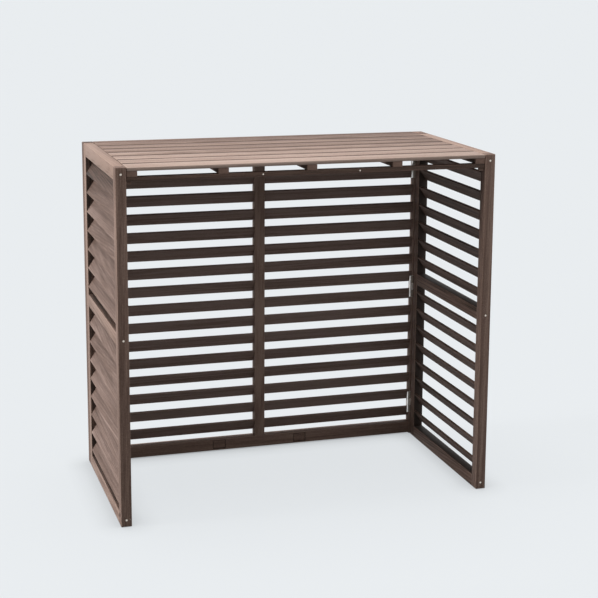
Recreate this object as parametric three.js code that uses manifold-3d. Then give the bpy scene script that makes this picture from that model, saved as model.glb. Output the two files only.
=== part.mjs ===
import * as THREE from 'three';
import { mergeVertices } from 'three/addons/utils/BufferGeometryUtils.js';
import Module from 'manifold-3d';

const wasm = await Module();
wasm.setup();

// Overall sizes of the screen, millimetres
const width = 900;
const depth = 470;
const height = 826;

// Timber of the three upright panels
const boardThickness = 24.5;
const stileWidth = 27;
const sideRailHeight = 30;
const frontRailHeight = 30;
const frontRailLift = 3;
const panelGap = 2.5;

// Tilted louvres, outer edge low and inner edge high
const louvreThickness = 5.5;
const louvreTilt = THREE.MathUtils.degToRad(34);
const louvreInset = 0.35;
const louvrePlaces = 16;
const lowerLouvreCount = 8;
const sideLouvreMargin = 29;
const frontLouvreMargin = 29.5;

// Stub tenons of the louvres and the halving over the centre stile
const tenonDepth = 6;
const tenonShare = 0.6;
const halvingShare = 0.67;
const jointFit = 0.3;
const cutSpare = 4;

// Lift-off top
const topSlatCount = 7;
const topSlatThickness = 9;
const topSlatGap = 4.5;
const topEndGap = 1;
const battenCount = 5;
const battenWidth = 24;
const battenThickness = 13;
const battenSetback = 2;
const battenFarGap = 1.5;
const stretcherWidth = 20;
const stretcherThickness = 10;
const stretcherSetback = 3;

// Hardwood dowels that carry the top
const restPinRadius = 4;
const restPinProud = 12;
const restPinHold = 12;
const seatGap = 0.3;

// Steel butt hinges in the gap between front and side panels
const hingeLength = 57;
const knuckleRadius = 2.25;
const hingePinRadius = 1.1;
const leafThickness = 0.8;
const leafReach = 24;
const hingeInset = 8.5;
const hingeFit = 0.3;
const hingePinPlay = 0.08;
const hingeHeightShares = [0.11, 0.5, 0.89];

// Planes that several pieces share
const openEdge = -depth / 2;
const frontOuter = depth / 2;
const frontInner = frontOuter - boardThickness;
const sideFarEnd = frontInner - panelGap;
const sideLength = sideFarEnd - openEdge;
const sideMiddle = (sideFarEnd + openEdge) / 2;
const sideInner = width / 2 - boardThickness;
const stileInner = width / 2 - stileWidth;
const battenTop = height - topSlatThickness;
const stretcherTop = battenTop - battenThickness;
const stretcherBottom = stretcherTop - stretcherThickness;
const topHalf = sideInner - topEndGap;
const hingeAxisX = sideInner - hingeInset;
const hingeAxisY = frontInner - knuckleRadius;

// Louvre section that fills the board thickness
const louvreRoom = boardThickness - 2 * louvreInset - louvreThickness * Math.cos(louvreTilt);
const louvreWidth = louvreRoom / Math.sin(louvreTilt);
const tenonWidth = louvreWidth * tenonShare;
const halvingEdge = louvreWidth * (halvingShare - 0.5);

const roundSides = 24;

const colours = {
  frame: 0x81685b,
  louvre: 0x7a6356,
  top: 0x998073,
  batten: 0x755e51,
  steel: 0xb4b4b0,
};

const screen = new THREE.Group();
screen.name = 'air_conditioner_screen';

// Materials
function timber(colour) {
  return new THREE.MeshStandardMaterial({ color: colour, roughness: 0.72, metalness: 0 });
}

function steel() {
  return new THREE.MeshStandardMaterial({ color: colours.steel, roughness: 0.35, metalness: 1 });
}

function addPiece(name, geometry, material) {
  const mesh = new THREE.Mesh(geometry, material);
  mesh.name = name;
  screen.add(mesh);
}

// Solid helpers
function toSolid(geometry) {
  const bare = geometry.clone();
  bare.deleteAttribute('uv');
  bare.deleteAttribute('normal');
  const merged = mergeVertices(bare);
  const vertProperties = new Float32Array(merged.attributes.position.array);
  const triVerts = new Uint32Array(merged.index.array);
  return new wasm.Manifold(new wasm.Mesh({ numProp: 3, vertProperties, triVerts }));
}

function toGeometry(solid) {
  const mesh = solid.getMesh();
  const geometry = new THREE.BufferGeometry();
  const corners = new Float32Array(mesh.vertProperties);
  geometry.setAttribute('position', new THREE.BufferAttribute(corners, 3));
  geometry.setIndex(new THREE.BufferAttribute(new Uint32Array(mesh.triVerts), 1));
  geometry.computeVertexNormals();
  return geometry;
}

function joinAll(geometries) {
  return geometries.map(toSolid).reduce((whole, next) => whole.add(next));
}

function cutAll(solid, geometries) {
  return geometries.map(toSolid).reduce((rest, next) => rest.subtract(next), solid);
}

// A board with square edges between two opposite corners
function board(x, y, z) {
  const box = new THREE.BoxGeometry(x[1] - x[0], y[1] - y[0], z[1] - z[0]);
  return box.translate((x[0] + x[1]) / 2, (y[0] + y[1]) / 2, (z[0] + z[1]) / 2);
}

// An upright plate with an outline in x and z between two y planes
function uprightPlate(points, nearY, farY) {
  const shape = new THREE.Shape(points.map(([x, z]) => new THREE.Vector2(x, z)));
  const plate = new THREE.ExtrudeGeometry(shape, { depth: farY - nearY, bevelEnabled: false });
  return plate.rotateX(Math.PI / 2).translate(0, farY, 0);
}

// An upright round bar
function uprightBar(radius, x, y, lowZ, highZ) {
  const bar = new THREE.CylinderGeometry(radius, radius, highZ - lowZ, roundSides);
  return bar.rotateX(Math.PI / 2).translate(x, y, (lowZ + highZ) / 2);
}

// A round bar lying across the screen
function crossBar(radius, fromX, toX, y, z) {
  const bar = new THREE.CylinderGeometry(radius, radius, Math.abs(toX - fromX), roundSides);
  return bar.rotateZ(Math.PI / 2).translate((fromX + toX) / 2, y, z);
}

// Lays a flat outline at the louvre angle, inner side towards the open edge
function tilt(points, thickness) {
  const shape = new THREE.Shape(points.map(([x, s]) => new THREE.Vector2(x, s)));
  const slat = new THREE.ExtrudeGeometry(shape, { depth: thickness, bevelEnabled: false });
  return slat.translate(0, 0, -thickness / 2).rotateX(Math.PI / 2 + louvreTilt);
}

function oblong(fromX, toX, low, high) {
  return [[fromX, low], [toX, low], [toX, high], [fromX, high]];
}

// Heights of the louvres between two rails
function louvreHeights(lowRail, highRail, margin) {
  const pitch = (highRail - lowRail - 2 * margin) / (louvrePlaces - 1);
  return Array.from({ length: louvrePlaces }, (_, place) => lowRail + margin + pitch * place);
}

const frontHeights = louvreHeights(
  frontRailLift + frontRailHeight, height - frontRailHeight, frontLouvreMargin);
const sideHeights = louvreHeights(sideRailHeight, height - sideRailHeight, sideLouvreMargin);
const boardMiddle = (frontInner + frontOuter) / 2;

// One front louvre with a tenon at each end and a notch for the centre stile
function frontLouvre(z) {
  const half = louvreWidth / 2;
  const tenon = tenonWidth / 2;
  const shoulder = stileInner - jointFit;
  const end = stileInner + tenonDepth;
  const notch = stileWidth / 2 + jointFit;
  const outline = [
    [-shoulder, -half], [shoulder, -half], [shoulder, -tenon], [end, -tenon],
    [end, tenon], [shoulder, tenon], [shoulder, half], [notch, half],
    [notch, halvingEdge], [-notch, halvingEdge], [-notch, half], [-shoulder, half],
    [-shoulder, tenon], [-end, tenon], [-end, -tenon], [-shoulder, -tenon],
  ];
  return tilt(outline, louvreThickness).translate(0, boardMiddle, z);
}

// The hollow that takes one tenon, open at the face of the stile
function tenonHollow(faceX, direction) {
  const high = tenonWidth / 2 + jointFit;
  const bottom = faceX + direction * (tenonDepth + jointFit);
  const outline = oblong(faceX - direction * cutSpare, bottom, -high, high);
  return tilt(outline, louvreThickness + 2 * jointFit);
}

// The slot that takes one louvre in the centre stile, open at its outer face
function halvingSlot(z) {
  const reach = stileWidth / 2 + cutSpare;
  const outline = oblong(-reach, reach, -louvreWidth / 2 - cutSpare, halvingEdge + jointFit);
  return tilt(outline, louvreThickness + 2 * jointFit).translate(0, boardMiddle, z);
}

// Front panel
function frontEndStile(side) {
  const xs = [side * stileInner, side * width / 2].sort((a, b) => a - b);
  const stile = toSolid(board(xs, [frontInner, frontOuter], [0, height]));
  const hollows = frontHeights.map((z) =>
    tenonHollow(side * stileInner, side).translate(0, boardMiddle, z));
  return toGeometry(cutAll(stile, hollows));
}

function centreStile() {
  const zs = [frontRailLift + frontRailHeight, height - frontRailHeight];
  const half = stileWidth / 2;
  const stile = toSolid(board([-half, half], [frontInner, frontOuter], zs));
  return toGeometry(cutAll(stile, frontHeights.map(halvingSlot)));
}

function frontRail(lowZ) {
  const zs = [lowZ, lowZ + frontRailHeight];
  return board([-stileInner, stileInner], [frontInner, frontOuter], zs);
}

function buildFrontPanel() {
  addPiece('front_left_stile', frontEndStile(-1), timber(colours.frame));
  addPiece('front_right_stile', frontEndStile(1), timber(colours.frame));
  addPiece('front_centre_stile', centreStile(), timber(colours.frame));
  addPiece('front_bottom_rail', frontRail(frontRailLift), timber(colours.frame));
  addPiece('front_top_rail', frontRail(height - frontRailHeight), timber(colours.frame));
  frontHeights.forEach((z, place) => {
    const number = String(place + 1).padStart(2, '0');
    addPiece(`front_louvre_${number}`, frontLouvre(z), timber(colours.louvre));
  });
}

// Side panels are laid out lengthwise like the front and then turned into place
function turnToSide(geometry, side) {
  const middleX = side * (width - boardThickness) / 2;
  return geometry.rotateZ(-side * Math.PI / 2).translate(middleX, sideMiddle, 0);
}

function sideStileSpan(far, side) {
  const direction = far ? -side : side;
  const outer = direction * sideLength / 2;
  const inner = direction * (sideLength / 2 - stileWidth);
  return [inner, outer].sort((a, b) => a - b);
}

const sideDepth = [-boardThickness / 2, boardThickness / 2];
const restPinCentres = {
  near: { y: openEdge + stileWidth / 2, z: stretcherBottom - seatGap - restPinRadius },
  far: { y: sideFarEnd - stileWidth / 2, z: stretcherTop - seatGap - restPinRadius },
};

// The hole in a side stile that holds a rest pin
function restPinHole(end, side) {
  const centre = restPinCentres[end];
  const fromX = side * (sideInner - cutSpare);
  const toX = side * (sideInner + restPinHold + seatGap);
  return crossBar(restPinRadius + jointFit / 2, fromX, toX, centre.y, centre.z);
}

function louvrePlacesOfSide() {
  return sideHeights.filter((_, place) => place !== lowerLouvreCount);
}

function sideNearStile(side) {
  const span = sideStileSpan(false, side);
  const stile = toSolid(turnToSide(board(span, sideDepth, [0, height]), side));
  const face = side * (sideLength / 2 - stileWidth);
  const hollows = louvrePlacesOfSide().map((z) =>
    turnToSide(tenonHollow(face, side).translate(0, 0, z), side));
  return toGeometry(cutAll(stile, [...hollows, restPinHole('near', side)]));
}

// The shallow seat for the moving leaf of one hinge
function leafSeat(side, centreZ) {
  const xs = [side * (sideInner - cutSpare), side * (hingeAxisX + leafReach + hingeFit)];
  const zs = [centreZ - hingeLength / 2 - hingeFit, centreZ + hingeLength / 2 + hingeFit];
  xs.sort((a, b) => a - b);
  return board(xs, [sideFarEnd - leafThickness, sideFarEnd + cutSpare], zs);
}

// One side louvre, joined to the far stile and tenoned into the near one
function sideLouvre(side, z) {
  const half = louvreWidth / 2;
  const tenon = tenonWidth / 2;
  const root = -side * (sideLength / 2 - stileWidth / 2);
  const shoulder = side * (sideLength / 2 - stileWidth - jointFit);
  const end = side * (sideLength / 2 - stileWidth + tenonDepth);
  const rootFace = -side * (sideLength / 2 - stileWidth);
  const outline = [
    [rootFace, -half], [shoulder, -half], [shoulder, -tenon], [end, -tenon],
    [end, tenon], [shoulder, tenon], [shoulder, half], [rootFace, half],
    [rootFace, tenon], [root, tenon], [root, -tenon], [rootFace, -tenon],
  ];
  return turnToSide(tilt(outline, louvreThickness).translate(0, 0, z), side);
}

function sideFarStile(side) {
  const span = sideStileSpan(true, side);
  const stile = turnToSide(board(span, sideDepth, [0, height]), side);
  const louvres = louvrePlacesOfSide().map((z) => sideLouvre(side, z));
  const seats = hingeHeightShares.map((share) => leafSeat(side, share * height));
  const joined = joinAll([stile, ...louvres]);
  return toGeometry(cutAll(joined, [...seats, restPinHole('far', side)]));
}

function sideRail(side, lowZ) {
  const half = sideLength / 2 - stileWidth;
  return turnToSide(board([-half, half], sideDepth, [lowZ, lowZ + sideRailHeight]), side);
}

function buildSidePanel(name, side) {
  const middle = sideHeights[lowerLouvreCount] - sideRailHeight / 2;
  addPiece(`${name}_near_stile`, sideNearStile(side), timber(colours.frame));
  addPiece(`${name}_far_stile_with_louvres`, sideFarStile(side), timber(colours.louvre));
  addPiece(`${name}_bottom_rail`, sideRail(side, 0), timber(colours.frame));
  addPiece(`${name}_middle_rail`, sideRail(side, middle), timber(colours.frame));
  addPiece(`${name}_top_rail`, sideRail(side, height - sideRailHeight), timber(colours.frame));
}

// Dowels that stand out of the side stiles under the top
function buildRestPins(name, side) {
  Object.entries(restPinCentres).forEach(([end, centre]) => {
    const fromX = side * (sideInner - restPinProud);
    const toX = side * (sideInner + restPinHold);
    const pin = crossBar(restPinRadius, fromX, toX, centre.y, centre.z);
    addPiece(`${name}_${end}_rest_pin`, pin, timber(colours.frame));
  });
}

// Lift-off top
function topSlat(place) {
  const pitch = (frontInner - openEdge) / topSlatCount;
  const near = openEdge + pitch * place;
  return board([-topHalf, topHalf], [near, near + pitch - topSlatGap], [battenTop, height]);
}

function batten(place) {
  const reach = topHalf - battenWidth / 2;
  const centre = -reach + (2 * reach * place) / (battenCount - 1);
  const xs = [centre - battenWidth / 2, centre + battenWidth / 2];
  return board(xs, [openEdge + battenSetback, frontInner - battenFarGap], [stretcherTop, battenTop]);
}

function stretcher() {
  const near = openEdge + stretcherSetback;
  const zs = [stretcherBottom, stretcherTop];
  return board([-topHalf, topHalf], [near, near + stretcherWidth], zs);
}

function buildTop() {
  for (let place = 0; place < topSlatCount; place += 1) {
    addPiece(`top_slat_${place + 1}`, topSlat(place), timber(colours.top));
  }
  for (let place = 0; place < battenCount; place += 1) {
    addPiece(`top_batten_${place + 1}`, batten(place), timber(colours.batten));
  }
  addPiece('top_stretcher', stretcher(), timber(colours.batten));
}

// Hinge leaves seen from the open edge, tongues reach the knuckles
function leafOutline(side, centreZ, tongues) {
  const half = hingeLength / 2;
  const near = hingeAxisX + knuckleRadius + hingeFit;
  const far = hingeAxisX + leafReach;
  const plates = [oblong(near, far, -half, half)];
  tongues.forEach(([low, high]) => plates.push(oblong(hingeAxisX, near + hingeFit, low, high)));
  return plates.map((plate) => plate.map(([x, z]) => [side * x, centreZ + z]));
}

function knuckles(side, centreZ, spans) {
  return spans.map(([low, high]) =>
    uprightBar(knuckleRadius, side * hingeAxisX, hingeAxisY, centreZ + low, centreZ + high));
}

function leafPlates(outlines, nearY) {
  return outlines.map((outline) => uprightPlate(outline, nearY, nearY + leafThickness));
}

function fixedLeaf(side, centreZ) {
  const half = hingeLength / 2;
  const third = hingeLength / 6 + hingeFit / 2;
  const spans = [[-half, -third], [third, half]];
  const plates = leafPlates(leafOutline(side, centreZ, spans), frontInner - leafThickness);
  const low = centreZ - half;
  const pin = uprightBar(hingePinRadius, side * hingeAxisX, hingeAxisY, low, low + hingeLength);
  return toGeometry(joinAll([...plates, ...knuckles(side, centreZ, spans), pin]));
}

function movingLeaf(side, centreZ) {
  const third = hingeLength / 6 - hingeFit / 2;
  const spans = [[-third, third]];
  const plates = leafPlates(leafOutline(side, centreZ, spans), sideFarEnd - leafThickness);
  const whole = joinAll([...plates, ...knuckles(side, centreZ, spans)]);
  const low = centreZ - third - cutSpare;
  const high = centreZ + third + cutSpare;
  const boreRadius = hingePinRadius + hingePinPlay;
  const bore = uprightBar(boreRadius, side * hingeAxisX, hingeAxisY, low, high);
  return toGeometry(cutAll(whole, [bore]));
}

function buildHinges(name, side) {
  hingeHeightShares.forEach((share, place) => {
    const centreZ = share * height;
    addPiece(`${name}_hinge_${place + 1}_fixed_leaf`, fixedLeaf(side, centreZ), steel());
    addPiece(`${name}_hinge_${place + 1}_moving_leaf`, movingLeaf(side, centreZ), steel());
  });
}

buildFrontPanel();
[['left', -1], ['right', 1]].forEach(([name, side]) => {
  buildSidePanel(name, side);
  buildRestPins(name, side);
  buildHinges(name, side);
});
buildTop();

export default screen;
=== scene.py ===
import math
import random

import bmesh
import bpy
from mathutils import Matrix, Vector


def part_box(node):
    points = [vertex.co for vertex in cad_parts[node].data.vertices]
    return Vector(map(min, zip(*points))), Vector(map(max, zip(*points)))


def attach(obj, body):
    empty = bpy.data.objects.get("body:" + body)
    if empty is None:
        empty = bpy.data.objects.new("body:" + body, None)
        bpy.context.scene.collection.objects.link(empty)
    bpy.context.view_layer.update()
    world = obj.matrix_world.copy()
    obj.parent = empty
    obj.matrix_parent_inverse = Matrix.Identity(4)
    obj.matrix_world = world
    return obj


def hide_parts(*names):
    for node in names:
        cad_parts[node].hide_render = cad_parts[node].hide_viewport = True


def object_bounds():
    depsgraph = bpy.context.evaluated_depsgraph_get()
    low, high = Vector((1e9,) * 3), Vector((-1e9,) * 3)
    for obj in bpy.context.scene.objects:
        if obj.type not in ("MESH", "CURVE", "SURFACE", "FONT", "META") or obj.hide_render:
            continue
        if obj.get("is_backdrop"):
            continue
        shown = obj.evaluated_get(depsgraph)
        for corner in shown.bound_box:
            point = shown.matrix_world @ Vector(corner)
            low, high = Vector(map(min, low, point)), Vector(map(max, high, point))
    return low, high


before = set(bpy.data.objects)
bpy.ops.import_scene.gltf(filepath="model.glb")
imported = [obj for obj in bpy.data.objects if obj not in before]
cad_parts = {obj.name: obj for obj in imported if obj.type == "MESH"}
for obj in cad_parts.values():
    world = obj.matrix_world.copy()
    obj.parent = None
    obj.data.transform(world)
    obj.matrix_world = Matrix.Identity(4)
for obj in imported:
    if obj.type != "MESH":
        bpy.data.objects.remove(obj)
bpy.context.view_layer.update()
rng = random.Random(7)

X, Y, Z = (1, 0, 0), (0, 1, 0), (0, 0, 1)
TO_OPEN_SIDE = (0, -1, 0)
SIDES = (("left", -1), ("right", 1))

# Camera at the photograph's angle
SENSOR_WIDTH = 36.0
LENS_PIXELS, FRAME_PIXELS = 1455.3, 598.0
YAW, PITCH, ROLL = (math.radians(v) for v in (17.110, 10.977, 0.348))
CAMERA_PLACE, CAMERA_SHIFT = (-0.9875, -3.3410, 1.2775), -0.10
CLIP_NEAR, CLIP_FAR = 0.05, 200.0

level = Vector((math.sin(YAW), math.cos(YAW), 0.0))
right = Vector((math.cos(YAW), -math.sin(YAW), 0.0))
up = Vector((0.0, 0.0, 1.0))
ahead = level * math.cos(PITCH) - up * math.sin(PITCH)
head = up * math.cos(PITCH) + level * math.sin(PITCH)
side_axis = right * math.cos(ROLL) + head * math.sin(ROLL)
top_axis = head * math.cos(ROLL) - right * math.sin(ROLL)
camera_data = bpy.data.cameras.new("camera")
camera = bpy.data.objects.new("camera", camera_data)
bpy.context.scene.collection.objects.link(camera)
camera_data.sensor_width = SENSOR_WIDTH
camera_data.lens = LENS_PIXELS / FRAME_PIXELS * SENSOR_WIDTH
camera_data.shift_y = CAMERA_SHIFT
camera_data.clip_start, camera_data.clip_end = CLIP_NEAR, CLIP_FAR
turn = Matrix((side_axis, top_axis, -ahead)).transposed().to_4x4()
camera.matrix_world = Matrix.Translation(CAMERA_PLACE) @ turn
bpy.context.scene.camera = camera


# Node helpers
def new_material(name):
    material = bpy.data.materials.new(name)
    material.use_nodes = True
    tree = material.node_tree
    return material, tree, tree.nodes["Principled BSDF"]


def noise(tree, vector, scale, detail, rough, distortion=0.0):
    stretch = tree.nodes.new("ShaderNodeMapping")
    stretch.inputs["Scale"].default_value = scale
    tree.links.new(vector, stretch.inputs["Vector"])
    texture = tree.nodes.new("ShaderNodeTexNoise")
    texture.inputs["Scale"].default_value = 1.0
    texture.inputs["Detail"].default_value = detail
    texture.inputs["Roughness"].default_value = rough
    texture.inputs["Distortion"].default_value = distortion
    tree.links.new(stretch.outputs["Vector"], texture.inputs["Vector"])
    return texture.outputs["Fac"]


def math_node(tree, operation, *values):
    node = tree.nodes.new("ShaderNodeMath")
    node.operation = operation
    for socket, value in zip(node.inputs, values):
        if isinstance(value, (int, float)):
            socket.default_value = value
        else:
            tree.links.new(value, socket)
    return node.outputs[0]


def add_share(tree, total, part, share):
    return math_node(tree, "ADD", total, math_node(tree, "MULTIPLY", part, share))


def ramp(tree, value, places, colours):
    node = tree.nodes.new("ShaderNodeValToRGB")
    while len(node.color_ramp.elements) < len(places):
        node.color_ramp.elements.new(0.5)
    for element, place, colour in zip(node.color_ramp.elements, places, colours):
        element.position = place
        element.color = (*colour, 1.0)
    tree.links.new(value, node.inputs["Fac"])
    return node.outputs["Color"]


def set_roughness(tree, shader, pattern, spread, lowest):
    rough = math_node(tree, "MULTIPLY_ADD", pattern, spread, lowest)
    tree.links.new(rough, shader.inputs["Roughness"])


def set_bump(tree, shader, height, strength, distance):
    bump = tree.nodes.new("ShaderNodeBump")
    bump.inputs["Strength"].default_value = strength
    bump.inputs["Distance"].default_value = distance
    tree.links.new(height, bump.inputs["Height"])
    tree.links.new(bump.outputs["Normal"], shader.inputs["Normal"])


def linear(red, green, blue):
    """A colour given as 0 to 255 per channel, taken out of the sRGB curve."""
    return tuple(((c / 255 + 0.055) / 1.055) ** 2.4 if c > 10 else c / 3294.6
                 for c in (red, green, blue))


# Of each pattern in the timber: scale along and across the grain, detail, roughness, distortion
TIMBER_NOISE = {
    "streaks": ((1.6, 150.0, 150.0), 4.0, 0.62, 0.3),
    "fibres": ((16.0, 620.0, 620.0), 3.0, 0.6),
    "pores": ((60.0, 1700.0, 1700.0), 1.0, 0.5),
    "cloud": ((2.6, 34.0, 34.0), 2.0, 0.5),
    "speckle": ((220.0, 900.0, 900.0), 2.0, 0.5),
}
RINGS = {"Scale": 95.0, "Distortion": 3.5, "Detail": 2.0, "Detail Scale": 6.0}

# Shares of the patterns in the tone, which the stain's four colours then follow
FIGURE_SHARE, FIBRE_SHARE, CLOUD_SHARE, SPECKLE_SHARE = 0.44, 0.24, 0.20, 0.12
# Share of the paler edges, from wear and a painted edge highlight, and of each step of the darker
# end grain and of the painted shade, which is painted light below zero
WEAR_AND_HIGHLIGHT_SHARE, STAIN_AND_SHADE_SHARE = 0.18, -0.04
STAIN_PLACES = (0.30, 0.40, 0.505, 0.61)

TIMBER_ROUGH_SPREAD, TIMBER_ROUGH_LOWEST, TIMBER_SPECULAR = 0.24, 0.54, 0.24
FIBRE_HEIGHT, TIMBER_BUMP, TIMBER_BUMP_DISTANCE = 0.7, 0.22, 0.0006


def timber(name, stain_and_painted_shade, dark, mid, light, rings_share):
    """Stained timber with growth rings, streaks and fibres along each board.

    It is darker on its end grain, darker still as painted shade in hollows, corners and gaps, and
    paler as painted light where that shade is below zero. Its eased edges are paler from wear and
    from a painted edge highlight. The streaks have what the rings leave of FIGURE_SHARE."""
    material, tree, shader = new_material(name)
    stored = {}
    for key in ("grain", "tone", "worn_and_highlit", "stain_and_painted_shade"):
        stored[key] = tree.nodes.new("ShaderNodeAttribute")
        stored[key].attribute_name = key
    vector = stored["grain"].outputs["Vector"]
    rings = tree.nodes.new("ShaderNodeTexWave")
    rings.wave_type, rings.rings_direction = "RINGS", "X"
    for key, value in RINGS.items():
        rings.inputs[key].default_value = value
    tree.links.new(vector, rings.inputs["Vector"])
    made = {key: noise(tree, vector, *values) for key, values in TIMBER_NOISE.items()}
    total = math_node(tree, "MULTIPLY", rings.outputs["Fac"], rings_share)
    for key, share in (("streaks", FIGURE_SHARE - rings_share), ("fibres", FIBRE_SHARE),
                       ("cloud", CLOUD_SHARE), ("speckle", SPECKLE_SHARE)):
        total = add_share(tree, total, made[key], share)
    total = math_node(tree, "ADD", total, stored["tone"].outputs["Fac"])
    # Edges paler from wear and from a painted edge highlight
    wear_and_highlight = math_node(tree, "MULTIPLY", stored["worn_and_highlit"].outputs["Fac"], made["speckle"])
    total = add_share(tree, total, wear_and_highlight, WEAR_AND_HIGHLIGHT_SHARE)
    total = add_share(tree, total, stored["stain_and_painted_shade"].outputs["Fac"], STAIN_AND_SHADE_SHARE)
    colour = ramp(tree, total, STAIN_PLACES, (stain_and_painted_shade, dark, mid, light))
    tree.links.new(colour, shader.inputs["Base Color"])
    set_roughness(tree, shader, made["fibres"], TIMBER_ROUGH_SPREAD, TIMBER_ROUGH_LOWEST)
    shader.inputs["Specular IOR Level"].default_value = TIMBER_SPECULAR
    raised = math_node(tree, "MULTIPLY", made["fibres"], FIBRE_HEIGHT)
    height = math_node(tree, "ADD", raised, made["pores"])
    set_bump(tree, shader, height, TIMBER_BUMP, TIMBER_BUMP_DISTANCE)
    return material


STEEL_NOISE = ((260.0, 260.0, 900.0), 3.0, 0.6)
STEEL_SHADE, STEEL_PLACES = 0.86, (0.3, 0.7)
STEEL_ROUGH_SPREAD, STEEL_BUMP, STEEL_BUMP_DISTANCE = 0.20, 0.10, 0.0002


def steel(name, colour, roughness):
    """Plated steel, bright or darkened as painted shade, slightly mottled."""
    material, tree, shader = new_material(name)
    place = tree.nodes.new("ShaderNodeTexCoord")
    mottle = noise(tree, place.outputs["Object"], *STEEL_NOISE)
    shade = tuple(c * STEEL_SHADE for c in colour)
    mottled = ramp(tree, mottle, STEEL_PLACES, (shade, colour))
    tree.links.new(mottled, shader.inputs["Base Color"])
    set_roughness(tree, shader, mottle, STEEL_ROUGH_SPREAD, roughness)
    shader.inputs["Metallic"].default_value = 1.0
    set_bump(tree, shader, mottle, STEEL_BUMP, STEEL_BUMP_DISTANCE)
    return material


# The first colour of each timber is its darkest, reached mostly where painted shade darkens it
FRAME_WOOD = timber("frame_wood", linear(52, 41, 35), linear(102, 81, 71), linear(126, 103, 92),
                    linear(154, 131, 119), 0.10)
LOUVRE_WOOD = timber("louvre_wood", linear(58, 46, 40), linear(97, 78, 69), linear(120, 100, 91),
                     linear(147, 127, 119), 0.06)
# The slats' wood is paler than the frame's as painted light on the lit top
PAINTED_LIGHT_SLAT_WOOD = timber("top_wood", linear(58, 46, 40), linear(110, 89, 79), linear(140, 118, 107),
                  linear(172, 151, 140), 0.08)
BATTEN_WOOD = timber("batten_wood", linear(56, 44, 38), linear(96, 76, 66), linear(116, 93, 82),
                     linear(138, 113, 101), 0.08)
STEEL = steel("fitting_steel", (0.98, 0.95, 0.91), 0.20)
SCREW_STEEL = steel("screw_steel", (0.70, 0.62, 0.54), 0.26)
# The hinge leaves' steel, darkened as painted shade where they lie in the gap between panels
PAINTED_SHADE_STEEL = steel("painted_shade_steel", (0.17, 0.14, 0.115), 0.45)

# Sizes shared with the solids, in metres
WIDTH, DEPTH, HEIGHT = 0.900, 0.470, 0.826
BOARD, STILE, PANEL_GAP = 0.0245, 0.027, 0.0025
RAIL, SIDE_MARGIN = 0.030, 0.029
TILT = math.radians(34)
SLAT_THICK, SLAT_INSET = 0.0055, 0.00035
SLAT_WIDE = (BOARD - 2 * SLAT_INSET - SLAT_THICK * math.cos(TILT)) / math.sin(TILT)
HALVING_SHARE = 0.67
HALVING = SLAT_WIDE * (HALVING_SHARE - 0.5)
FRONT_INNER = DEPTH / 2 - BOARD
FRONT_MIDDLE = DEPTH / 2 - BOARD / 2
SIDE_END = FRONT_INNER - PANEL_GAP
SIDE_INNER = WIDTH / 2 - BOARD
STILE_INNER = WIDTH / 2 - STILE
HOUSING, FIT = 0.0006, 0.0003

TOP_SLATS, TOP_BATTENS, HINGES = 7, 5, 3

# Places of the louvres in a panel, of which the middle rail takes one in the side panels
PLACES, MIDDLE = 16, 8

# Radii of the eased edges
EDGE, FAR_STILE_EDGE, TOP_SLAT_EDGE, PLUG_EDGE, DOWEL_EDGE = 0.0011, 0.0016, 0.0026, 0.0004, 0.0006

# Angles from which an edge is eased, and from which it stays sharp in the shading
BEVEL_FROM, SHARP_FROM = math.radians(30), math.radians(35)

# Tones of the boards, paler above zero
FRONT_STILE_TONES = (("front_left_stile", -0.06), ("front_right_stile", 0.0))
CENTRE_STILE_TONE, FRONT_TOP_TONE, FRONT_BOTTOM_TONE, FRONT_LOUVRE_TONE = 0.12, -0.04, 0.02, 0.085
# The side panels' top rails are paler as painted light on their lit upper faces
NEAR_STILE_TONE, SIDE_TOP_RAIL_PAINTED_LIGHT = -0.02, 0.13
FAR_STILE_TONES = {"left": 0.06, "right": -0.03}
# The right panel's low rails and louvres, seen from inside, are darker as painted shade; the
# left's low rails are a paler board
LOW_RAIL_TONES_AND_SHADE = {"left": 0.05, "right": -0.08}
SIDE_LOUVRE_PAINTED_SHADE = {"left": 0.0, "right": -0.10}
# Painted shadow of the top rail on the two uppermost louvres of the left panel
TOP_RAIL_SHADOW_ON_LEFT_LOUVRES = {14: -0.06, 15: -0.14}
# Painted light on the top slats, paler at the open side and darker slat by slat to the back, and
# painted shade on the stretcher under the top
TOP_SLAT_PAINTED_LIGHT, TOP_SLAT_PAINTED_FALLOFF, STRETCHER_PAINTED_SHADE = 0.09, 0.03, -0.11

# Darker stain on end grain (ON_ENDS); painted shade in hollows, in the far stiles' corners,
# on the rails under the louvres and in the gaps of the top, in steps of the timber's share;
# painted light on the battens' fronts below zero
ON_ENDS, HOLLOW_PAINTED_SHADE, CORNER_PAINTED_SHADE = 1.0, 6.0, 6.5
UNDER_LOUVRE_PAINTED_SHADE, TOP_GAP_PAINTED_SHADE, BATTEN_FRONT_PAINTED_LIGHT = 5.2, 5.5, -3.5

# Where a board lay along its log and beside the pith, in metres, the slope of its grain, and how
# far the tones of like boards stray
ALONG_LOG, PITH_NEAR, PITH_FAR, GRAIN_SLOPE, TONE_STRAY = 3.0, 0.02, 0.07, 0.035, 0.03

# Cosines that tell a board's ends, long faces, upright faces and faces toward a side, and how
# deep in the board's box a face has to lie to be a hollow's
END_ABOVE, LONG_BELOW, UPRIGHT_BELOW, TOWARD_ABOVE = 0.8, 0.3, 0.95, 0.7
HOLLOW_INSET = 0.0004


# Piece helpers
def link_piece(name, mesh, body, material=None):
    piece = bpy.data.objects.new(name, mesh)
    bpy.context.scene.collection.objects.link(piece)
    if material is not None:
        mesh.materials.append(material)
    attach(piece, body)
    return piece


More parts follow.
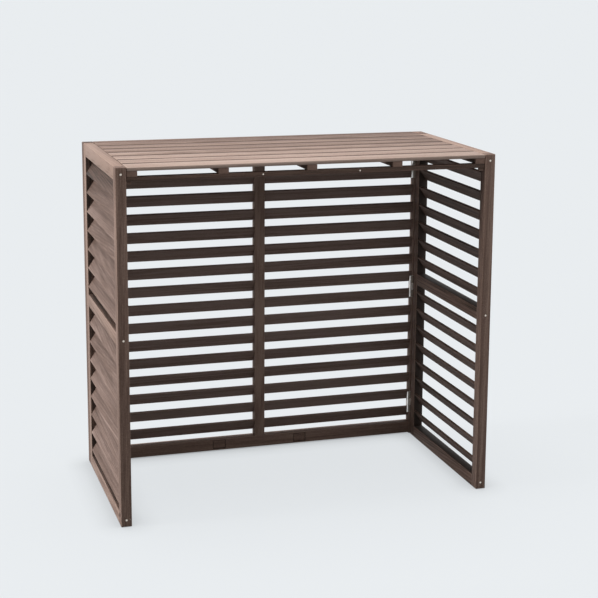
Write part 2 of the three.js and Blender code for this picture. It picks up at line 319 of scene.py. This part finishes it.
def write_grain(mesh, along, shade=0.0, sides=0.0, toward=None, hollows=0.0):
    """Stores where each point lies in the board's own timber, its growth rings centred off to
    one side.

    sides is the painted shade of the long upright faces, or only of those that look toward a
    side, and painted light where it is below zero; hollows is the painted shade of the faces
    inside the board's box."""
    along = Vector(along).normalized()
    across = along.orthogonal().normalized()
    third = along.cross(across)
    start = rng.uniform(-ALONG_LOG, ALONG_LOG)
    pith = [rng.choice((-1, 1)) * rng.uniform(PITH_NEAR, PITH_FAR) for _ in range(2)]
    lean = [rng.uniform(-GRAIN_SLOPE, GRAIN_SLOPE) for _ in range(2)]
    centre = sum((v.co for v in mesh.vertices), Vector()) / len(mesh.vertices)
    flat = []
    for vertex in mesh.vertices:
        place = vertex.co - centre
        a = place.dot(along)
        b = place.dot(across) + pith[0] + lean[0] * a
        c = place.dot(third) + pith[1] + lean[1] * a
        flat += (a + start, b, c)
    mesh.attributes.new("grain", "FLOAT_VECTOR", "POINT").data.foreach_set("vector", flat)
    tone = [rng.uniform(-TONE_STRAY, TONE_STRAY) + shade] * len(mesh.vertices)
    mesh.attributes.new("tone", "FLOAT", "POINT").data.foreach_set("value", tone)
    low = [min(v.co[i] for v in mesh.vertices) + HOLLOW_INSET for i in range(3)]
    high = [max(v.co[i] for v in mesh.vertices) - HOLLOW_INSET for i in range(3)]
    # Painted shade in hollows and on the chosen faces, painted light below zero, and darker end
    # grain
    stain_and_painted_shade = []
    for face in mesh.polygons:
        to_end = abs(face.normal.dot(along))
        if toward:
            chosen = face.normal.dot(Vector(toward)) > TOWARD_ABOVE
        else:
            chosen = to_end < LONG_BELOW and abs(face.normal.z) < UPRIGHT_BELOW
        if hollows and all(a < c < b for a, c, b in zip(low, face.center, high)):
            stain_and_painted_shade.append(hollows)
        elif chosen:
            stain_and_painted_shade.append(sides)
        else:
            stain_and_painted_shade.append(ON_ENDS if to_end > END_ABOVE else 0.0)
    mesh.attributes.new("stain_and_painted_shade", "FLOAT", "FACE").data.foreach_set("value", stain_and_painted_shade)


def smooth(mesh):
    mesh.shade_smooth()
    mesh.set_sharp_from_angle(angle=SHARP_FROM)


def finish_mesh(name, bm, edge, along=None, segments=2, shade=0.0, sides=0.0, toward=None):
    """Turns a bmesh into a mesh with eased edges, and with its timber where along is given."""
    # Eased edges paler from wear and from a painted edge highlight, left plain where all the long
    # upright faces get painted shade
    worn_and_highlit = bm.faces.layers.float.new("worn_and_highlit")
    if edge:
        sharp = [e for e in bm.edges if e.calc_face_angle(0) > BEVEL_FROM]
        made = bmesh.ops.bevel(bm, geom=sharp, offset=edge, segments=segments, profile=0.5,
                               affect="EDGES", clamp_overlap=True)
        for face in made["faces"]:
            face[worn_and_highlit] = 0.0 if sides and not toward else 1.0
    bmesh.ops.recalc_face_normals(bm, faces=bm.faces)
    mesh = bpy.data.meshes.new(name)
    bm.to_mesh(mesh)
    bm.free()
    smooth(mesh)
    if along is not None:
        write_grain(mesh, along, shade, sides, toward)
    return mesh


def box_bmesh(low, high):
    bm = bmesh.new()
    bmesh.ops.create_cube(bm, size=1.0)
    centre, size = (Vector(low) + Vector(high)) / 2, Vector(high) - Vector(low)
    for vertex in bm.verts:
        vertex.co = Vector(c * s for c, s in zip(vertex.co, size)) + centre
    return bm


def prism_bmesh(points, thickness):
    """A flat outline in x and y with a thickness in z, centred on z = 0."""
    bm = bmesh.new()
    low = [bm.verts.new((x, y, -thickness / 2)) for x, y in points]
    high = [bm.verts.new((x, y, thickness / 2)) for x, y in points]
    bm.faces.new(reversed(low))
    bm.faces.new(high)
    for i in range(len(points)):
        j = (i + 1) % len(points)
        bm.faces.new((low[i], low[j], high[j], high[i]))
    return bm


def cylinder_bmesh(radius, length, axis, centre, facets):
    bm = bmesh.new()
    bmesh.ops.create_cone(bm, cap_ends=True, segments=facets, radius1=radius, radius2=radius,
                          depth=length)
    turn_to = Vector(Z).rotation_difference(Vector(axis)).to_matrix().to_4x4()
    bmesh.ops.transform(bm, matrix=Matrix.Translation(centre) @ turn_to, verts=bm.verts)
    return bm


def cut(mesh, cutters, along, shade=0.0):
    """Takes the cutters' solids out of a mesh that has no timber yet, and gives it its timber,
    with painted shade on the faces inside its hollows.
    """
    body = bpy.data.objects.new("body", mesh)
    tool_mesh = bpy.data.meshes.new("tool")
    joined = bmesh.new()
    for cutter in cutters:
        part = bpy.data.meshes.new("part")
        cutter.to_mesh(part)
        cutter.free()
        joined.from_mesh(part)
        bpy.data.meshes.remove(part)
    joined.to_mesh(tool_mesh)
    joined.free()
    tool = bpy.data.objects.new("tool", tool_mesh)
    for o in (body, tool):
        bpy.context.scene.collection.objects.link(o)
    modifier = body.modifiers.new("cut", "BOOLEAN")
    modifier.operation, modifier.solver, modifier.object = "DIFFERENCE", "EXACT", tool
    graph = bpy.context.evaluated_depsgraph_get()
    made = bpy.data.meshes.new_from_object(body.evaluated_get(graph))
    made.materials.clear()
    for o in (body, tool):
        bpy.data.objects.remove(o)
    smooth(made)
    write_grain(made, along, shade, hollows=HOLLOW_PAINTED_SHADE)
    return made


def board(node, body, material, along, edge=EDGE, cutters=(), shade=0.0, sides=0.0,
          toward=None):
    """A square-sawn board with eased edges in place of its CAD node."""
    low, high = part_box(node)
    name = f"{node}_board"
    mesh = finish_mesh(name, box_bmesh(low, high), edge, None if cutters else along,
                       shade=shade, sides=sides, toward=toward)
    if cutters:
        mesh = cut(mesh, cutters, along, shade)
        mesh.name = name
    piece = link_piece(name, mesh, body, material)
    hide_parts(node)


def tilt_matrix():
    return Matrix.Rotation(math.pi / 2 + TILT, 4, "X")


def louvre(name, points, place, turn_z, body, shade):
    bm = prism_bmesh(points, SLAT_THICK)
    matrix = Matrix.Translation(place) @ Matrix.Rotation(turn_z, 4, "Z") @ tilt_matrix()
    mesh = finish_mesh(name, bm, EDGE, segments=3)
    mesh.transform(matrix)
    write_grain(mesh, Matrix.Rotation(turn_z, 3, "Z") @ Vector(X), shade)
    return link_piece(name, mesh, body, LOUVRE_WOOD)


# Front panel, whose cutters reach past the faces they open
PAST_FACE = 0.004


def front_height(place):
    low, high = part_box(f"front_louvre_{place + 1:02d}")
    return (low.z + high.z) / 2


def halving_cutter(z):
    """The slot of the centre stile in which one front louvre lies."""
    reach = STILE / 2 + PAST_FACE
    low, high = -SLAT_WIDE / 2 - PAST_FACE, HALVING + FIT
    points = ((-reach, low), (reach, low), (reach, high), (-reach, high))
    bm = prism_bmesh(points, SLAT_THICK + 2 * FIT)
    matrix = Matrix.Translation((0, FRONT_MIDDLE, z)) @ tilt_matrix()
    bmesh.ops.transform(bm, matrix=matrix, verts=bm.verts)
    return bm


for node, shade in FRONT_STILE_TONES:
    board(node, "front_panel", FRAME_WOOD, Z, shade=shade)
board("front_centre_stile", "front_panel", FRAME_WOOD, Z,
      cutters=[halving_cutter(front_height(i)) for i in range(PLACES)], shade=CENTRE_STILE_TONE)
board("front_top_rail", "front_panel", FRAME_WOOD, X, shade=FRONT_TOP_TONE)

# Flush plugs in the bottom rail, each in a slightly wider pocket
PLUG_HALF_WIDE, PLUG_HALF_HIGH, PLUG_DEEP, PLUG_GROOVE = 0.0155, 0.0100, 0.0045, 0.0015
PLUG_SUNK, PLUG_SHORT = 0.00005, 0.0001
PLUG_ASIDE, PLUG_HEIGHT = 0.110, 0.0185
PLUG_CENTRES = [(sign * PLUG_ASIDE, FRONT_INNER, PLUG_HEIGHT) for _, sign in SIDES]


def plug_box(centre, groove, front, back):
    """A plug's box, wider by a groove all round, from front to back behind the rail's face."""
    x, y, z = centre
    half_x, half_z = PLUG_HALF_WIDE + groove, PLUG_HALF_HIGH + groove
    return box_bmesh((x - half_x, y + front, z - half_z), (x + half_x, y + back, z + half_z))


board("front_bottom_rail", "front_panel", FRAME_WOOD, X,
      cutters=[plug_box(c, PLUG_GROOVE, -PAST_FACE, PLUG_DEEP) for c in PLUG_CENTRES],
      shade=FRONT_BOTTOM_TONE)
for i, centre in enumerate(PLUG_CENTRES):
    name = f"front_rail_plug_{i + 1}"
    bm = plug_box(centre, 0, PLUG_SUNK, PLUG_DEEP - PLUG_SHORT)
    mesh = finish_mesh(name, bm, PLUG_EDGE, X, segments=1)
    link_piece(name, mesh, "front_panel", FRAME_WOOD)

for i in range(PLACES):
    node = f"front_louvre_{i + 1:02d}"
    end, half, notch = STILE_INNER + HOUSING, SLAT_WIDE / 2, STILE / 2 + FIT
    outline = ((-end, -half), (end, -half), (end, half), (notch, half),
               (notch, HALVING), (-notch, HALVING), (-notch, half), (-end, half))
    piece = louvre(f"{node}_slat", outline, (0, FRONT_MIDDLE, front_height(i)), 0.0,
                   "front_panel", FRONT_LOUVRE_TONE)
    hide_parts(node)

FACETS, DOWEL_FACETS = 32, 40

# Screws with a cross recess, sunk in a countersink; the profile gives shares of the head's
# radius with their heights
SCREW_RADIUS, SEAT_RADIUS = 0.0026, 0.0029
SMALL_SCREW_RADIUS, SMALL_SEAT_RADIUS = 0.0020, 0.0023
SCREW_CROWN = 0.00015
SCREW_PROFILE = ((0.55, 0.00012), (0.90, 0.0), (1.0, -0.00022), (0.55, -0.0016))
CROSS_LONG, CROSS_WIDE, CROSS_LOW, CROSS_HIGH = 0.62, 0.15, -0.0009, 0.002
SCREW_SUNK, SCREW_TURN = 0.0003, 1.5
SEAT_LENGTH, SEAT_CENTRE = 0.0060, 0.0012


def screw(name, place, body, radius=SCREW_RADIUS):
    """A countersunk head toward the open side, its rim just under the face at place."""
    bm = bmesh.new()
    loops = []
    for share, z in SCREW_PROFILE:
        loops.append([bm.verts.new((radius * share * math.cos(2 * math.pi * k / FACETS),
                                    radius * share * math.sin(2 * math.pi * k / FACETS), z))
                      for k in range(FACETS)])
    tip = bm.verts.new((0, 0, SCREW_CROWN))
    for k in range(FACETS):
        following = (k + 1) % FACETS
        bm.faces.new((tip, loops[0][k], loops[0][following]))
        for a, b in zip(loops, loops[1:]):
            bm.faces.new((a[k], b[k], b[following], a[following]))
    bm.faces.new(reversed(loops[-1]))
    mesh = finish_mesh(name, bm, 0)
    cross = []
    for size in ((CROSS_LONG, CROSS_WIDE), (CROSS_WIDE, CROSS_LONG)):
        half_x, half_y = radius * size[0], radius * size[1]
        cross.append(box_bmesh((-half_x, -half_y, CROSS_LOW), (half_x, half_y, CROSS_HIGH)))
    mesh = cut(mesh, cross, X)
    outward = Vector(TO_OPEN_SIDE)
    matrix = Vector(Z).rotation_difference(outward).to_matrix().to_4x4()
    spin = Matrix.Rotation(rng.uniform(0, SCREW_TURN), 4, "Z")
    mesh.transform(Matrix.Translation(Vector(place) - outward * SCREW_SUNK) @ matrix @ spin)
    mesh.name = name
    link_piece(name, mesh, body, SCREW_STEEL)


def countersink(place, radius=SEAT_RADIUS):
    outward = Vector(TO_OPEN_SIDE)
    centre = Vector(place) + outward * SEAT_CENTRE
    return cylinder_bmesh(radius, SEAT_LENGTH, outward, centre, FACETS)


# Side panels
SIDE_SCREW_INSET = 0.0155
HOLE_RADIUS, HOLE_LENGTH, HOLE_Y, HOLE_Z = 0.0050, 0.0240, -0.2175, 0.0238


def side_heights():
    low, high = RAIL + SIDE_MARGIN, HEIGHT - RAIL - SIDE_MARGIN
    return [low + (high - low) * i / (PLACES - 1) for i in range(PLACES)]


def drilled_hole(sign):
    """The blind hole low on a near stile's outer face."""
    centre = (sign * WIDTH / 2, HOLE_Y, HOLE_Z)
    return cylinder_bmesh(HOLE_RADIUS, HOLE_LENGTH, X, centre, FACETS)


def add_near_stile(side, sign, body, middle_x):
    heights = (SIDE_SCREW_INSET, side_heights()[MIDDLE], HEIGHT - SIDE_SCREW_INSET)
    spots = [(middle_x, -DEPTH / 2, z) for z in heights]
    board(f"{side}_near_stile", body, FRAME_WOOD, Z,
          cutters=[drilled_hole(sign)] + [countersink(s) for s in spots], shade=NEAR_STILE_TONE)
    for i, spot in enumerate(spots):
        screw(f"{side}_stile_screw_{i + 1}", spot, body)


def add_side_rails(side, body):
    # The bottom and middle rails get painted shade on their upper faces under the louvres
    for rail, shade, sides in (("bottom", LOW_RAIL_TONES_AND_SHADE[side], UNDER_LOUVRE_PAINTED_SHADE),
                               ("middle", LOW_RAIL_TONES_AND_SHADE[side], UNDER_LOUVRE_PAINTED_SHADE),
                               ("top", SIDE_TOP_RAIL_PAINTED_LIGHT, 0.0)):
        board(f"{side}_{rail}_rail", body, FRAME_WOOD, Y, shade=shade,
              sides=sides, toward=Z)


def add_far_stile(side, sign, body):
    name = f"{side}_far_stile_board"
    outer, inner = sign * WIDTH / 2, sign * SIDE_INNER
    bm = box_bmesh((min(outer, inner), SIDE_END - STILE, 0),
                   (max(outer, inner), SIDE_END, HEIGHT))
    # Painted shade on the faces that look toward the open side, in the recesses between louvres
    mesh = finish_mesh(name, bm, FAR_STILE_EDGE, Z, shade=FAR_STILE_TONES[side],
                       sides=CORNER_PAINTED_SHADE, toward=TO_OPEN_SIDE)
    far_stile = link_piece(name, mesh, body, FRAME_WOOD)
    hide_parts(f"{side}_far_stile_with_louvres")


def add_side_louvres(side, sign, body, middle_x):
    reach, half = (SIDE_END + DEPTH / 2 - 2 * STILE + 2 * HOUSING) / 2, SLAT_WIDE / 2
    outline = ((-reach, -half), (reach, -half), (reach, half), (-reach, half))
    # Painted shadow of the top rail on the uppermost left louvres, and painted shade inside the
    # right panel
    tones = TOP_RAIL_SHADOW_ON_LEFT_LOUVRES if side == "left" else {}
    heights = side_heights()
    del heights[MIDDLE]
    for number, z in enumerate(heights, start=1):
        centre = (middle_x, (SIDE_END - DEPTH / 2) / 2, z)
        shade = tones.get(number, SIDE_LOUVRE_PAINTED_SHADE[side])
        louvre(f"{side}_louvre_{number:02d}_slat", outline, centre, -sign * math.pi / 2, body,
               shade)


def add_rest_dowels(side, body):
    for end in ("near", "far"):
        node = f"{side}_{end}_rest_pin"
        low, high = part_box(node)
        radius, length = (high.z - low.z) / 2, high.x - low.x
        bm = cylinder_bmesh(radius, length, X, (low + high) / 2, DOWEL_FACETS)
        mesh = finish_mesh(node, bm, DOWEL_EDGE, X)
        pin = link_piece(f"{node}_bar", mesh, body, FRAME_WOOD)
        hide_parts(node)


for side, sign in SIDES:
    body, middle_x = f"{side}_side_panel", sign * (WIDTH - BOARD) / 2
    add_near_stile(side, sign, body, middle_x)
    add_side_rails(side, body)
    add_far_stile(side, sign, body)
    add_side_louvres(side, sign, body, middle_x)
    add_rest_dowels(side, body)

# Lift-off top
STRETCHER_SCREW_ASIDE = 0.115

# Painted light falling off from the open side to the back, and painted shade on the sides of all
# but the first slat, in the gaps of the top
for i in range(TOP_SLATS):
    board(f"top_slat_{i + 1}", "top", PAINTED_LIGHT_SLAT_WOOD, X, edge=TOP_SLAT_EDGE,
          shade=TOP_SLAT_PAINTED_LIGHT - TOP_SLAT_PAINTED_FALLOFF * i, sides=TOP_GAP_PAINTED_SHADE if i else 0.0)
# Painted light on the battens' fronts under the first slat's overhang
for i in range(TOP_BATTENS):
    board(f"top_batten_{i + 1}", "top", BATTEN_WOOD, Y,
          sides=BATTEN_FRONT_PAINTED_LIGHT, toward=TO_OPEN_SIDE)
low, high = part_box("top_stretcher")
spots = [(sign * STRETCHER_SCREW_ASIDE, low.y, (low.z + high.z) / 2) for _, sign in SIDES]
# Painted shade on the stretcher under the top
board("top_stretcher", "top", BATTEN_WOOD, X,
      cutters=[countersink(s, SMALL_SEAT_RADIUS) for s in spots], shade=STRETCHER_PAINTED_SHADE)
for i, spot in enumerate(spots):
    screw(f"top_stretcher_screw_{i + 1}", spot, "top", SMALL_SCREW_RADIUS)

# Hinges, whose first material is bright steel and whose second is that steel darkened as
# painted shade on the leaves in the gap
HINGE, REACH, LEAF, KNUCKLE, HINGE_INSET = 0.057, 0.024, 0.0008, 0.00225, 0.0085
AXIS_X, AXIS_Y = SIDE_INNER - HINGE_INSET, FRONT_INNER - KNUCKLE
CORNER, CORNER_STEPS, LEAF_EDGE = 0.003, 4, 0.0002
KNUCKLE_EDGE, KNUCKLE_FACETS, TONGUE_SUNK = 0.0003, 48, 0.0001
PIN_RADIUS, PIN_SHORT, PIN_FACETS = 0.0011, 0.001, 24
CAP_RADIUS, CAP_LENGTH, CAP_SUNK = 0.0013, 0.0010, 0.0002
# The second material's index: steel darkened as painted shade
BRIGHT, PAINTED_SHADE_INDEX = 0, 1


def leaf_outline(points_low, points_high):
    """A leaf outline whose far corners are rounded."""
    (x0, z0), (x1, z1) = points_low, points_high
    sign = 1 if x1 > x0 else -1
    cx = x1 - sign * CORNER
    outline = [(x0, z0)]
    for cz, start in ((z0 + CORNER, -90), (z1 - CORNER, 0)):
        for step in range(CORNER_STEPS + 1):
            angle = math.radians(start + step * 90 / CORNER_STEPS)
            outline.append((cx + sign * CORNER * math.cos(angle), cz + CORNER * math.sin(angle)))
    outline.append((x0, z1))
    return outline


def plate_bmesh(points, near_y):
    bm = prism_bmesh(points, LEAF)
    matrix = Matrix.Translation((0, near_y + LEAF / 2, 0)) @ Matrix.Rotation(math.pi / 2, 4, "X")
    bmesh.ops.transform(bm, matrix=matrix, verts=bm.verts)
    return bm


def join_bmeshes(name, parts):
    """Joins parts given as (bmesh, edge radius, number of its material)."""
    whole = bmesh.new()
    for bm, edge, number in parts:
        for face in bm.faces:
            face.material_index = number
        mesh = finish_mesh(name, bm, edge)
        whole.from_mesh(mesh)
        bpy.data.meshes.remove(mesh)
    joined = bpy.data.meshes.new(name)
    whole.to_mesh(joined)
    whole.free()
    smooth(joined)
    return joined


def hinge_leaf(node, sign, z, spans, near_y, fixed, body):
    """A leaf with a knuckle at each span of heights, and with the pin if it is the fixed one."""
    name, axis_x, near_x = f"{node}_plate", sign * AXIS_X, AXIS_X + KNUCKLE + FIT
    plate = leaf_outline((sign * near_x, z - HINGE / 2), (sign * (AXIS_X + REACH), z + HINGE / 2))
    parts = [(plate_bmesh(plate, near_y), LEAF_EDGE, PAINTED_SHADE_INDEX)]
    tongue_x = sign * (near_x + FIT if fixed else SIDE_INNER - FIT)
    tongue_y, tongue_steel = (near_y, PAINTED_SHADE_INDEX) if fixed else (near_y - TONGUE_SUNK, BRIGHT)
    for low, high in spans:
        tongue = [(axis_x, z + low), (tongue_x, z + low), (tongue_x, z + high), (axis_x, z + high)]
        parts.append((plate_bmesh(tongue, tongue_y), 0.0, tongue_steel))
        centre = (axis_x, AXIS_Y, z + (low + high) / 2)
        knuckle = cylinder_bmesh(KNUCKLE, high - low, Z, centre, KNUCKLE_FACETS)
        parts.append((knuckle, KNUCKLE_EDGE, BRIGHT))
    if fixed:
        for end in (-1, 1):
            centre = (axis_x, AXIS_Y, z + end * (HINGE / 2 - CAP_SUNK))
            cap = cylinder_bmesh(CAP_RADIUS, CAP_LENGTH, Z, centre, FACETS)
            parts.append((cap, KNUCKLE_EDGE, BRIGHT))
        pin = cylinder_bmesh(PIN_RADIUS, HINGE - PIN_SHORT, Z, (axis_x, AXIS_Y, z), PIN_FACETS)
        parts.append((pin, 0.0, BRIGHT))
    mesh = join_bmeshes(name, parts)
    mesh.materials.append(STEEL)
    mesh.materials.append(PAINTED_SHADE_STEEL)
    piece = link_piece(name, mesh, body)
    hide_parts(node)


half, sixth, play = HINGE / 2, HINGE / 6, FIT / 2
for side, sign in SIDES:
    for i in range(HINGES):
        node = f"{side}_hinge_{i + 1}_fixed_leaf"
        low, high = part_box(node)
        z = (low.z + high.z) / 2
        hinge_leaf(node, sign, z, [(-half, -sixth - play), (sixth + play, half)],
                   FRONT_INNER - LEAF, True, "front_panel")
        node = f"{side}_hinge_{i + 1}_moving_leaf"
        hinge_leaf(node, sign, z, [(-sixth + play, sixth - play)],
                   SIDE_END - LEAF, False, f"{side}_side_panel")

# Pale floor and soft studio light
PALE = linear(233, 237, 240)
FLOOR_RADIUS, FLOOR_FACETS, FLOOR_SUNK = 40.0, 64, 0.0005
WORLD_FILL, FILL_COLOUR, LAMP_COLOUR = 0.18, (1.0, 0.955, 0.91), (1.0, 0.99, 0.98)

# Far lamps: name, direction, spread in degrees, strength
LAMPS = (("left", (-1.0, 0.05, 0.30), 14, 2.9),
         ("overhead", (-0.06, 0.12, 1.0), 46, 2.9),
         ("right", (1.0, 0.0, 0.25), 40, 0.9))
LAMP_DISTANCE = 4.0

# A weak soft box above the open side, so the light falls off towards the ground
BOX_PLACE, BOX_AIM, BOX_SIZE, BOX_POWER = (0.6, -1.9, 1.8), (0, -0.2, 0.5), 1.3, 6.5

# What the floor gives back to the object, how far real shadows darken it, and how far a
# painted shadow darkens it where it meets the object
FLOOR_BOUNCE, FLOOR_SHADE, FLOOR_PAINTED_SHADOW = 0.17, 0.12, 0.42
PAINTED_SHADOW_REACH, PAINTED_SHADOW_SAMPLES = 0.07, 12
FLOOR_LIGHT = WORLD_FILL + sum(strength * direction[2] / Vector(direction).length / math.pi
                               for _, direction, _, strength in LAMPS)


def colour_node(tree, kind, colour):
    node = tree.nodes.new(kind)
    node.inputs["Color"].default_value = (*colour, 1.0)
    return node


def show_background(tree, lighting, seen, output):
    """Shows seen to the rays that look at the background, also by way of metal, and lighting to
    those that light."""
    path = tree.nodes.new("ShaderNodeLightPath")
    looking = math_node(tree, "MAXIMUM",
                        path.outputs["Is Camera Ray"], path.outputs["Is Glossy Ray"])
    looking = math_node(tree, "MAXIMUM", looking, path.outputs["Is Transmission Ray"])
    mix = tree.nodes.new("ShaderNodeMixShader")
    tree.links.new(looking, mix.inputs[0])
    tree.links.new(lighting.outputs[0], mix.inputs[1])
    tree.links.new(seen.outputs[0], mix.inputs[2])
    tree.links.new(mix.outputs[0], output.inputs[0])


def floor_material():
    material = bpy.data.materials.new("pale_floor")
    material.use_nodes = True
    tree = material.node_tree
    tree.nodes.clear()
    output = tree.nodes.new("ShaderNodeOutputMaterial")
    matt = colour_node(tree, "ShaderNodeBsdfDiffuse", [c * FLOOR_BOUNCE for c in PALE])
    faint = colour_node(tree, "ShaderNodeBsdfDiffuse",
                        [c * FLOOR_SHADE / FLOOR_LIGHT for c in PALE])
    glow = colour_node(tree, "ShaderNodeEmission", PALE)
    seen = tree.nodes.new("ShaderNodeAddShader")
    # Painted shadow where the floor meets the object, from ambient occlusion dimming the glow
    painted_contact_shadow = tree.nodes.new("ShaderNodeAmbientOcclusion")
    painted_contact_shadow.samples = PAINTED_SHADOW_SAMPLES
    painted_contact_shadow.inputs["Distance"].default_value = PAINTED_SHADOW_REACH
    strength = math_node(tree, "MULTIPLY_ADD", painted_contact_shadow.outputs["AO"], FLOOR_PAINTED_SHADOW,
                         1.0 - FLOOR_SHADE - FLOOR_PAINTED_SHADOW)
    tree.links.new(strength, glow.inputs["Strength"])
    tree.links.new(faint.outputs[0], seen.inputs[0])
    tree.links.new(glow.outputs[0], seen.inputs[1])
    show_background(tree, matt, seen, output)
    return material


bm = bmesh.new()
bmesh.ops.create_circle(bm, cap_ends=True, segments=FLOOR_FACETS, radius=FLOOR_RADIUS)
floor_mesh = bpy.data.meshes.new("floor")
bm.to_mesh(floor_mesh)
bm.free()
floor = bpy.data.objects.new("floor", floor_mesh)
floor.location.z = -FLOOR_SUNK
floor_mesh.materials.append(floor_material())
bpy.context.scene.collection.objects.link(floor)
floor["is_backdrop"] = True

world = bpy.data.worlds.new("studio")
bpy.context.scene.world = world
world.use_nodes = True
tree = world.node_tree
tree.nodes.clear()
output = tree.nodes.new("ShaderNodeOutputWorld")
seen = colour_node(tree, "ShaderNodeBackground", PALE)
fill = colour_node(tree, "ShaderNodeBackground", FILL_COLOUR)
seen.inputs["Strength"].default_value = 1.0
fill.inputs["Strength"].default_value = WORLD_FILL
show_background(tree, fill, seen, output)


def lamp(name, kind, strength, place, toward_lamp):
    light = bpy.data.lights.new(name, kind)
    light.energy, light.color = strength, LAMP_COLOUR
    holder = bpy.data.objects.new(name, light)
    bpy.context.scene.collection.objects.link(holder)
    holder.location = place
    holder.rotation_euler = Vector(toward_lamp).to_track_quat("Z", "Y").to_euler()
    return light


for name, direction, spread, strength in LAMPS:
    light = lamp(name, "SUN", strength, Vector(direction) * LAMP_DISTANCE, direction)
    light.angle = math.radians(spread)
light = lamp("front", "AREA", BOX_POWER, BOX_PLACE, Vector(BOX_PLACE) - Vector(BOX_AIM))
light.shape, light.size = "DISK", BOX_SIZE

bpy.context.scene.view_settings.view_transform = "Standard"

low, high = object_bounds()
